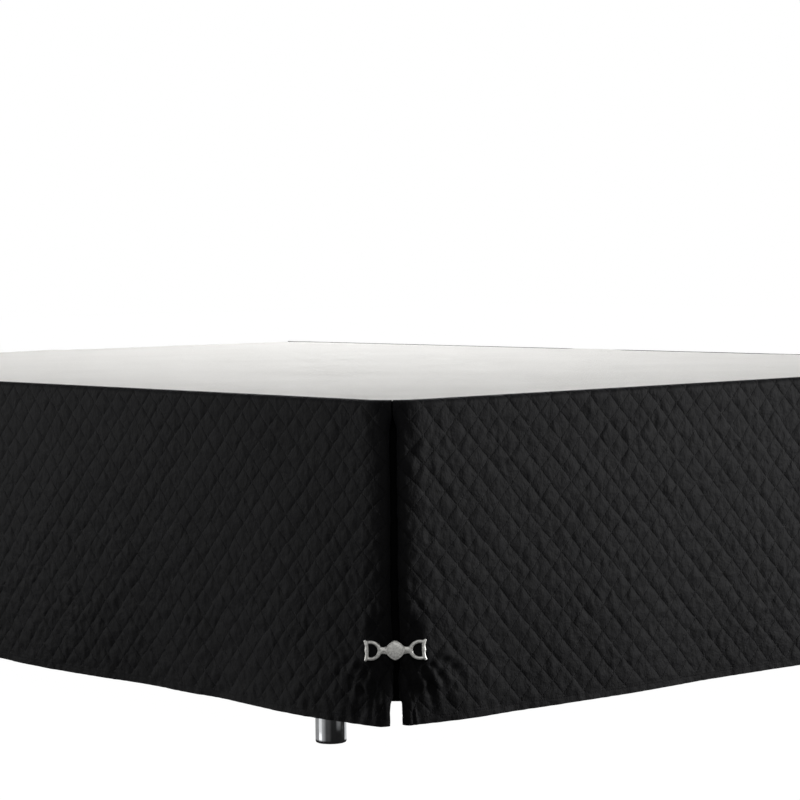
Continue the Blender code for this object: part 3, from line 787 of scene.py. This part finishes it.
# ---------------------------------------------------------------- base
# section of the base's cover in millimetres, from below: how far a ring lies inside the
# outline, its height, and how loose the cover is there. A welt runs round both edges
BASE_SECTION = [
    dict(inset=60.0, z=150.0, loose=0.0), dict(inset=27.0, z=150.0, loose=0.0),
    dict(inset=26.2, z=151.0, loose=0.0), dict(inset=25.4, z=150.0, loose=0.0),
    dict(inset=9.0, z=150.0, loose=0.0), dict(inset=5.6, z=150.6, loose=0.0),
    dict(inset=3.8, z=152.2, loose=0.0), dict(inset=3.5, z=153.8, loose=0.0),
    dict(inset=1.5, z=154.5, loose=0.0), dict(inset=0.5, z=155.7, loose=0.0),
    dict(inset=0.2, z=157.0, loose=0.0), dict(inset=0.5, z=158.3, loose=0.0),
    dict(inset=1.5, z=159.5, loose=0.0), dict(inset=3.7, z=160.2, loose=0.0),
    dict(inset=3.0, z=163.0, loose=0.3), dict(inset=2.5, z=172.0, loose=0.7),
    dict(inset=2.1, z=200.0, loose=1.0), dict(inset=1.8, z=250.0, loose=1.0),
    dict(inset=1.7, z=300.0, loose=1.0), dict(inset=1.8, z=350.0, loose=1.0),
    dict(inset=2.1, z=400.0, loose=1.0), dict(inset=2.5, z=426.0, loose=0.7),
    dict(inset=3.0, z=435.0, loose=0.3), dict(inset=3.7, z=437.8, loose=0.0),
    dict(inset=1.5, z=438.5, loose=0.0), dict(inset=0.5, z=439.7, loose=0.0),
    dict(inset=0.2, z=441.0, loose=0.0), dict(inset=0.5, z=442.3, loose=0.0),
    dict(inset=1.5, z=443.5, loose=0.0), dict(inset=3.6, z=444.2, loose=0.0),
    dict(inset=4.2, z=446.0, loose=0.0), dict(inset=6.2, z=447.9, loose=0.0),
    dict(inset=10.0, z=448.8, loose=0.0), dict(inset=16.0, z=449.0, loose=0.0),
    dict(inset=60.0, z=449.0, loose=0.0),
]
COVER_STEP = 0.012        # between the columns of the base's cover


def box_base():
    """The padded box base: a cover drawn over rounded corners, with its two welts."""
    rows = []
    for low, high in zip(BASE_SECTION, BASE_SECTION[1:]):
        parts = max(1, round((high["z"] - low["z"]) / 12.0))
        rows += [{key: low[key] + (high[key] - low[key]) * k / parts for key in low} for k in range(parts)]
    rows.append(BASE_SECTION[-1])

    def ring(inset):
        radius = BASE_CORNER_R - inset
        points = []
        for sx, sy, start in ((1, -1, -90), (1, 1, 0), (-1, 1, 90), (-1, -1, 180)):
            turn = np.radians(start + 90 * np.arange(19) / 18)
            centre = np.array([sx * (BASE_W / 2 - BASE_CORNER_R), sy * (BASE_L / 2 - BASE_CORNER_R)])
            points.append(centre + radius * np.stack([np.cos(turn), np.sin(turn)], -1))
        out = []
        for k, arc in enumerate(points):
            after = points[(k + 1) % 4][0]
            length = (BASE_L, BASE_W)[k % 2] - 2 * BASE_CORNER_R
            steps = round(length / COVER_STEP)
            out.append(arc)
            out.append(arc[-1] + (after - arc[-1]) * (np.arange(1, steps) / steps)[:, None])
        return np.concatenate(out)

    outline = ring(0.0)
    count = len(outline)
    run = np.concatenate([[0], np.cumsum(np.linalg.norm(np.roll(outline, -1, axis=0) - outline, axis=1))])
    rng = np.random.default_rng(8)
    heights = np.array([row["z"] for row in rows])[:, None] / 1000
    flat_x, flat_y = outline[:, 0][None, :] + 0 * heights, outline[:, 1][None, :] + 0 * heights
    slack = waves(flat_x, heights + 0 * flat_x, rng, 14, 0.10, 0.60, 0.6) \
        + waves(flat_y, heights + 0 * flat_x, rng, 14, 0.10, 0.60, 0.6)
    verts = []
    for k, row in enumerate(rows):
        outer, inner = ring(0.0), ring(row["inset"] / 1000)
        away = (outer - inner) / max(row["inset"] / 1000, 1e-6)
        give = np.clip(0.0004 * slack[k], -0.0012, 0.0012) * row["loose"]
        spots = inner + away * give[:, None]
        verts.append(np.column_stack([spots, np.full(count, row["z"] / 1000)]))
    faces, loops = [], []
    length = np.concatenate([[0], np.cumsum([math.hypot(b["inset"] - a["inset"], b["z"] - a["z"]) / 1000
                                            for a, b in zip(rows, rows[1:])])])
    for r in range(len(rows) - 1):
        for k in range(count):
            m = (k + 1) % count
            faces.append((r * count + k, r * count + m, (r + 1) * count + m, (r + 1) * count + k))
            loops += [(run[k], length[r]), (run[k + 1], length[r]),
                      (run[k + 1], length[r + 1]), (run[k], length[r + 1])]
    last = (len(rows) - 1) * count
    for cap in (list(range(count))[::-1], list(range(last, last + count))):
        faces.append(cap)
        loops += [tuple(outline[v % count]) for v in cap]
    mesh = bpy.data.meshes.new("box_base")
    mesh.from_pydata(np.concatenate(verts).tolist(), [], faces)
    mesh.update()
    lay_cloth(mesh, None, np.array(loops))
    mesh.shade_smooth()
    mesh.set_sharp_from_angle(angle=math.radians(60))
    ob = bpy.data.objects.new("box_base", mesh)
    bpy.context.scene.collection.objects.link(ob)
    return ob


BASE_COVER = plain_cloth("base_cover", (0.50, 0.48, 0.45), (0.66, 0.64, 0.61), "cloth", 0.0016, 0.9)
dress(box_base(), BASE_COVER, ("bed_base",))

# ---------------------------------------------------------------- clasps
# Right half of a clasp in millimetres: the upper half of each bar's middle line, with its
# half width in the clasp's plane and its half thickness.
ARCH = [
    dict(x=35.0, y=9.9, half=1.95, thick=1.45), dict(x=32.0, y=10.2, half=2.05, thick=1.55),
    dict(x=28.2, y=10.1, half=2.10, thick=1.60), dict(x=24.6, y=8.9, half=2.15, thick=1.60),
    dict(x=21.6, y=6.5, half=2.25, thick=1.60), dict(x=19.6, y=3.5, half=2.45, thick=1.55),
    dict(x=18.8, y=0.0, half=2.60, thick=1.50),
]
OUTER_BAR = [
    dict(x=37.6, y=12.6, half=1.40, thick=1.10), dict(x=36.6, y=11.4, half=1.90, thick=1.40),
    dict(x=35.5, y=9.6, half=2.35, thick=1.60), dict(x=34.9, y=6.4, half=2.15, thick=1.60),
    dict(x=34.8, y=2.8, half=2.20, thick=1.65), dict(x=35.0, y=0.0, half=2.60, thick=1.90),
]
NECK = [
    dict(x=7.0, y=0.0, half=5.2, thick=1.35), dict(x=11.0, y=0.0, half=4.9, thick=1.40),
    dict(x=14.0, y=0.0, half=4.3, thick=1.45), dict(x=17.0, y=0.0, half=4.5, thick=1.50),
    dict(x=19.6, y=0.0, half=5.2, thick=1.50),
]
RIVET_X, RIVET_R, RIVET_H = 14.2, 1.50, 2.15
MEDALLION_W, MEDALLION_H, MEDALLION_POWER = 12.9, 12.2, 1.46
# rings of the medallion from its middle: share of its outline, and front height
MEDALLION_RINGS = [
    dict(share=0.00, front=3.00), dict(share=0.20, front=2.98), dict(share=0.40, front=2.90),
    dict(share=0.58, front=2.74), dict(share=0.70, front=2.55), dict(share=0.78, front=2.32),
    dict(share=0.83, front=2.16), dict(share=0.88, front=2.28), dict(share=0.93, front=2.10),
    dict(share=0.98, front=1.45), dict(share=1.00, front=0.60),
]


def smooth_rows(rows, parts):
    """Catmull-Rom points through the rows' x, y, half and thick."""
    pts = np.array([[row[key] for key in ("x", "y", "half", "thick")] for row in rows])
    pts = np.vstack([2 * pts[0] - pts[1], pts, 2 * pts[-1] - pts[-2]])
    out = []
    for k in range(1, len(pts) - 2):
        p0, p1, p2, p3 = pts[k - 1:k + 3]
        for t in np.arange(parts) / parts:
            out.append(0.5 * (2 * p1 + (p2 - p0) * t + (2 * p0 - 5 * p1 + 4 * p2 - p3) * t ** 2
                              + (3 * p1 - p0 - 3 * p2 + p3) * t ** 3))
    out.append(pts[-2])
    return np.array(out)


def bar(bm, rows, x_sign, both, sides=14):
    """A bar of oval section along rows, carried on below the middle when both is true."""
    if both:
        rows = rows + [dict(row, y=-row["y"]) for row in rows[-2::-1]]
    path = smooth_rows(rows, 6)
    spots = path[:, :2]
    tangent = np.gradient(spots, axis=0)
    tangent /= np.linalg.norm(tangent, axis=1, keepdims=True)
    rings = []
    for (x, y, half, thick), (tx, ty) in zip(path, tangent):
        ring = []
        for k in range(sides):
            turn = math.tau * k / sides
            side = half * math.cos(turn)
            ring.append(bm.verts.new((x_sign * (x - ty * side), y + tx * side, thick * math.sin(turn))))
        rings.append(ring)
    for low, high in zip(rings, rings[1:]):
        for k in range(sides):
            m = (k + 1) % sides
            bm.faces.new((low[k], low[m], high[m], high[k]))
    bm.faces.new(rings[0])
    bm.faces.new(rings[-1][::-1])


def medallion(bm, segments=72):
    """The bare domed medallion: a rounded diamond with a raised border."""
    def edge(turn):
        c, n = math.cos(turn), math.sin(turn)
        reach = (abs(c) ** MEDALLION_POWER + abs(n) ** MEDALLION_POWER) ** (-1 / MEDALLION_POWER)
        return MEDALLION_W * c * reach, MEDALLION_H * n * reach

    outline = [edge(math.tau * k / segments) for k in range(segments)]
    front = [[bm.verts.new((x * row["share"], y * row["share"], row["front"])) for x, y in outline]
             for row in MEDALLION_RINGS[1:]]
    back = [[bm.verts.new((x * share, y * share, low)) for x, y in outline]
            for share, low in ((0.97, -1.0), (0.90, -1.3))]
    rings = front + back
    for inner, outer in zip(rings, rings[1:]):
        for k in range(segments):
            m = (k + 1) % segments
            bm.faces.new((inner[k], outer[k], outer[m], inner[m]))
    top = bm.verts.new((0, 0, MEDALLION_RINGS[0]["front"]))
    for k in range(segments):
        bm.faces.new((top, front[0][k], front[0][(k + 1) % segments]))
    bm.faces.new(rings[-1][::-1])


def clasp(name, x_sign, tilt):
    """One cast clasp: its bars, necks and medallion fused into one smooth body."""
    bm = bmesh.new()
    for side in (-1, 1):
        bar(bm, ARCH, side, True)
        bar(bm, OUTER_BAR, side, True)
        bar(bm, NECK, side, False)
        rivet = bmesh.ops.create_uvsphere(bm, u_segments=20, v_segments=12, radius=RIVET_R)
        for v in rivet["verts"]:
            v.co.z *= RIVET_H / RIVET_R
            v.co.x += side * RIVET_X
    medallion(bm)
    bmesh.ops.recalc_face_normals(bm, faces=bm.faces)
    bmesh.ops.scale(bm, verts=bm.verts, vec=(0.001, 0.001, 0.001))
    mesh = bpy.data.meshes.new(name)
    bm.to_mesh(mesh)
    bm.free()
    ob = bpy.data.objects.new(name, mesh)
    bpy.context.scene.collection.objects.link(ob)
    fused = ob.modifiers.new("fuse", "REMESH")
    fused.mode = "VOXEL"
    fused.voxel_size = 0.00036
    soft = ob.modifiers.new("soften", "SMOOTH")
    soft.factor, soft.iterations = 0.5, 4
    bpy.context.view_layer.update()
    mesh = bpy.data.meshes.new_from_object(ob.evaluated_get(bpy.context.evaluated_depsgraph_get()))
    ob.modifiers.clear()
    ob.data = mesh
    mesh.name = name
    out = Vector((x_sign, -1.0, 0.0)).normalized()
    up = Vector((0.0, 0.0, 1.0))
    turn = Matrix((up.cross(out), up, out)).transposed().to_4x4()
    spot = Vector((x_sign * HALF_X, -FOOT_Y, CLASP_Z)) - out * CLASP_DEPTH
    for v in mesh.vertices:
        v.co.z -= CLASP_BOW * (v.co.x / CLASP_HALF) ** 2
    mesh.transform(Matrix.Translation(spot) @ turn @ Matrix.Rotation(math.radians(tilt), 4, "Z"))
    mesh.update()
    mesh.shade_smooth()
    return ob


SATIN = metal("satin_nickel", (0.62, 0.615, 0.585), (1.0, 0.99, 0.95), 0.44, 0.56, 420.0, 700.0, 0.00012, 0.7,
              metallic=0.6)
for side, x_sign, tilt in (("left", -1, 1.0), ("right", 1, -0.6)):
    dress(clasp("corner_clasp_" + side, x_sign, tilt), SATIN, ("clasp_" + side,))


# ---------------------------------------------------------------- legs
LEG_TOP = BASE_UNDER_Z - GAP
# profile of a leg in millimetres, from the floor up: a tube with a rolled foot
LEG_PROFILE = [
    dict(r=0.0, z=0.0), dict(r=13.5, z=0.0), dict(r=17.3, z=0.0), dict(r=18.3, z=0.2),
    dict(r=19.2, z=0.7), dict(r=19.75, z=1.5), dict(r=20.0, z=2.8), dict(r=20.0, z=10.0),
    dict(r=20.0, z=60.0), dict(r=20.0, z=140.0), dict(r=20.0, z=148.9), dict(r=19.75, z=149.5),
    dict(r=19.2, z=149.7), dict(r=0.0, z=149.7),
]


def leg(name, x, y, segments=96):
    rows = [row for row in LEG_PROFILE if row["r"] > 0]
    turns = [math.tau * k / segments for k in range(segments)]
    verts = [(x + row["r"] / 1000 * math.cos(t), y + row["r"] / 1000 * math.sin(t), row["z"] / 1000)
             for row in rows for t in turns]
    faces = []
    for ring in range(len(rows) - 1):
        for k in range(segments):
            m = (k + 1) % segments
            faces.append((ring * segments + k, ring * segments + m,
                          (ring + 1) * segments + m, (ring + 1) * segments + k))
    low, high = len(verts), len(verts) + 1
    verts += [(x, y, 0.0), (x, y, LEG_PROFILE[-1]["z"] / 1000)]
    last = (len(rows) - 1) * segments
    for k in range(segments):
        m = (k + 1) % segments
        faces += [(low, m, k), (high, last + k, last + m)]
    mesh = bpy.data.meshes.new(name)
    mesh.from_pydata(verts, [], faces)
    mesh.update()
    mesh.shade_smooth()
    mesh.set_sharp_from_angle(angle=math.radians(50))
    ob = bpy.data.objects.new(name, mesh)
    bpy.context.scene.collection.objects.link(ob)
    return ob


CHROME = metal("leg_chrome", (0.66, 0.68, 0.70), (0.80, 0.815, 0.83), 0.06, 0.13, 60.0, 90.0, 0.0006, 0.10)
for end, y in (("foot", -FOOT_Y + LEG_FROM_FOOT), ("head", FOOT_Y - LEG_FROM_FOOT)):
    for side, x in (("left", -HALF_X + LEG_INSET), ("right", HALF_X - LEG_INSET)):
        dress(leg("chrome_leg_%s_%s" % (end, side), x, y), CHROME,
              ("leg_%s_%s" % (end, side),))


# ---------------------------------------------------------------- floor and light
# light cards round the visible leg: degrees anticlockwise from +X, counted from CARDS_FROM,
# and metres from the leg's middle. Near the leg they bend round it, towards CARDS_BEND
CARDS_FROM, CARDS_BEND = 250.0, 228.5
# each card stops short at near, so the floor right round the leg stays dark: a painted contact shadow for the
# chrome to mirror at its foot
LEG_CARDS = [
    dict(begin=262, full=284, hold=298, end=318, near=0.10, soft=0.07, far=0.32, glow=0.16),
    dict(begin=349, full=357, hold=400, end=408, near=0.027, soft=0.008, far=0.50, glow=0.66),
    dict(begin=400, full=408, hold=482, end=489, near=0.027, soft=0.008, far=0.50, glow=0.28),
    dict(begin=484, full=491, hold=515, end=526, near=0.027, soft=0.008, far=0.50, glow=0.85),
    dict(begin=486, full=493, hold=514, end=525, near=0.030, soft=0.008, far=0.11, glow=1.35),
    dict(begin=508, full=518, hold=522, end=566, near=0.027, soft=0.008, far=0.50, glow=0.40),
    dict(begin=540, full=560, hold=572, end=604, near=0.027, soft=0.008, far=0.50, glow=0.055),
]


def floor():
    bm = bmesh.new()
    bmesh.ops.create_grid(bm, x_segments=1, y_segments=1, size=20.0)
    mesh = bpy.data.meshes.new("floor")
    bm.to_mesh(mesh)
    bm.free()
    ob = bpy.data.objects.new("floor", mesh)
    bpy.context.scene.collection.objects.link(ob)
    n = Nodes("floor_pale")
    n.shader.inputs["Base Color"].default_value = (0.02, 0.02, 0.02, 1)
    n.shader.inputs["Roughness"].default_value = 0.9
    n.shader.inputs["Specular IOR Level"].default_value = 0.0
    n.shader.inputs["Emission Color"].default_value = (1, 1, 1, 1)
    # lit from below like a studio's light table; it lights the object only a little. Rays other than the camera's
    # see a glow painted dim near and under the bed, a painted contact shadow
    path = n.new("ShaderNodeLightPath")
    spot = n.new("ShaderNodeSeparateXYZ")
    n.put(spot.inputs[0], n.place("object"))
    beyond_x = n.math("SUBTRACT", n.math("ABSOLUTE", spot.outputs[0]), HALF_X)
    beyond_y = n.math("SUBTRACT", n.math("ABSOLUTE", spot.outputs[1]), FOOT_Y)
    # painted shadow: the glow stays near zero within 0.15 m of the bed and under it, and rises away from it
    glow_painted_dark_near_bed = n.span(n.math("MAXIMUM", beyond_x, beyond_y), 0.15, 0.75, 0.01, 0.44)
    for side, edge, low, high in ((1, HEAD_Y, -0.30, 0.10), (0, HALF_X, 0.02, 0.30)):
        beyond = n.math("SUBTRACT", spot.outputs[side], edge)
        glow_painted_dark_near_bed = n.math("MAXIMUM", glow_painted_dark_near_bed, n.span(beyond, low, high, 0.01, 0.42))
    # light cards lie on the floor round the visible leg, for its chrome to mirror
    leg_x = n.math("ADD", spot.outputs[0], HALF_X - LEG_INSET)
    leg_y = n.math("ADD", spot.outputs[1], FOOT_Y - LEG_FROM_FOOT)
    turn = n.math("MULTIPLY", n.math("ARCTAN2", leg_y, leg_x), 180 / math.pi)
    reach = n.math("SQRT", n.math("ADD", n.math("MULTIPLY", leg_x, leg_x), n.math("MULTIPLY", leg_y, leg_y)))
    size = n.math("MINIMUM", n.math("DIVIDE", LEG_R, reach), 1.0)
    aside = n.math("SUBTRACT", n.math("MODULO", n.math("SUBTRACT", CARDS_BEND + 540.0, turn), 360.0), 180.0)
    bend = 0.0
    for _ in range(3):
        half = n.math("MULTIPLY", n.math("ADD", aside, bend), math.pi / 360)
        bend = n.math("MULTIPLY", n.math("ARCSINE", n.math("MULTIPLY", size, n.math("SINE", half))), 180 / math.pi)
    turn = n.math("SUBTRACT", turn, bend)
    turn = n.math("ADD", n.math("MODULO", n.math("ADD", turn, 1080.0 - CARDS_FROM), 360.0), CARDS_FROM)
    glow = glow_painted_dark_near_bed
    for card in LEG_CARDS:
        wide = n.math("MULTIPLY", n.span(turn, card["begin"], card["full"]),
                      n.span(turn, card["end"], card["hold"]))
        # painted shadow: each card fades out close to the leg, leaving a dark ring round its foot
        deep = n.math("MULTIPLY", n.span(reach, card["near"], card["near"] + card["soft"]),
                      n.span(reach, card["far"], card["far"] * 0.8))
        part = n.math("MULTIPLY", n.math("MULTIPLY", wide, deep), card["glow"])
        glow = n.math("MAXIMUM", glow, part)
    seen = n.new("ShaderNodeMix", data_type="FLOAT")
    n.put(seen.inputs[0], path.outputs["Is Camera Ray"])
    n.put(seen.inputs[2], glow)
    seen.inputs[3].default_value = 1.0
    n.put(n.shader.inputs["Emission Strength"], seen.outputs[0])
    mesh.materials.append(n.material)
    return ob


floor()


def soft_light(name, spot, target, size, watts):
    data = bpy.data.lights.new(name, "AREA")
    data.shape = "RECTANGLE"
    data.size, data.size_y = size
    data.energy = watts
    ob = bpy.data.objects.new(name, data)
    ob.location = spot
    ob.rotation_euler = (Vector(target) - Vector(spot)).to_track_quat("-Z", "Y").to_euler()
    bpy.context.scene.collection.objects.link(ob)


CORNER = Vector((-HALF_X, -FOOT_Y, 0.25))
soft_light("light_right", CORNER + Vector((0.75 + 4.1, -2.9, 0.7)), CORNER + Vector((0.75, 0, 0)), (1.7, 1.7), 392)
soft_light("light_front", EYE + Vector((0, 0, 0.9)) + AHEAD * 0.3, CORNER - Vector((0, 0, 0.1)), (1.2, 0.8), 20)
soft_light("light_left", CORNER + Vector((-2.1, 0.75 + 2.7, 0.5)), CORNER + Vector((0, 0.75, 0)), (1.6, 1.6), 77)
soft_light("light_top", Vector((0, 0.1, 2.4)), Vector((0, 0.1, 0)), (1.6, 2.0), 20)
soft_light("light_back", Vector((2.3, 2.3, 1.6)), Vector((0.3, 0.3, 0.3)), (1.5, 1.5), 95)

world = bpy.data.worlds.new("studio")
bpy.context.scene.world = world
world.use_nodes = True
tree = world.node_tree
background = tree.nodes["Background"]
background.inputs["Color"].default_value = (1, 1, 1, 1)
path = tree.nodes.new("ShaderNodeLightPath")
level = tree.nodes.new("ShaderNodeMapRange")
level.inputs["To Min"].default_value = 0.11
level.inputs["To Max"].default_value = 1.0
tree.links.new(path.outputs["Is Camera Ray"], level.inputs["Value"])
tree.links.new(level.outputs["Result"], background.inputs["Strength"])
bpy.context.scene.view_settings.view_transform = "Standard"
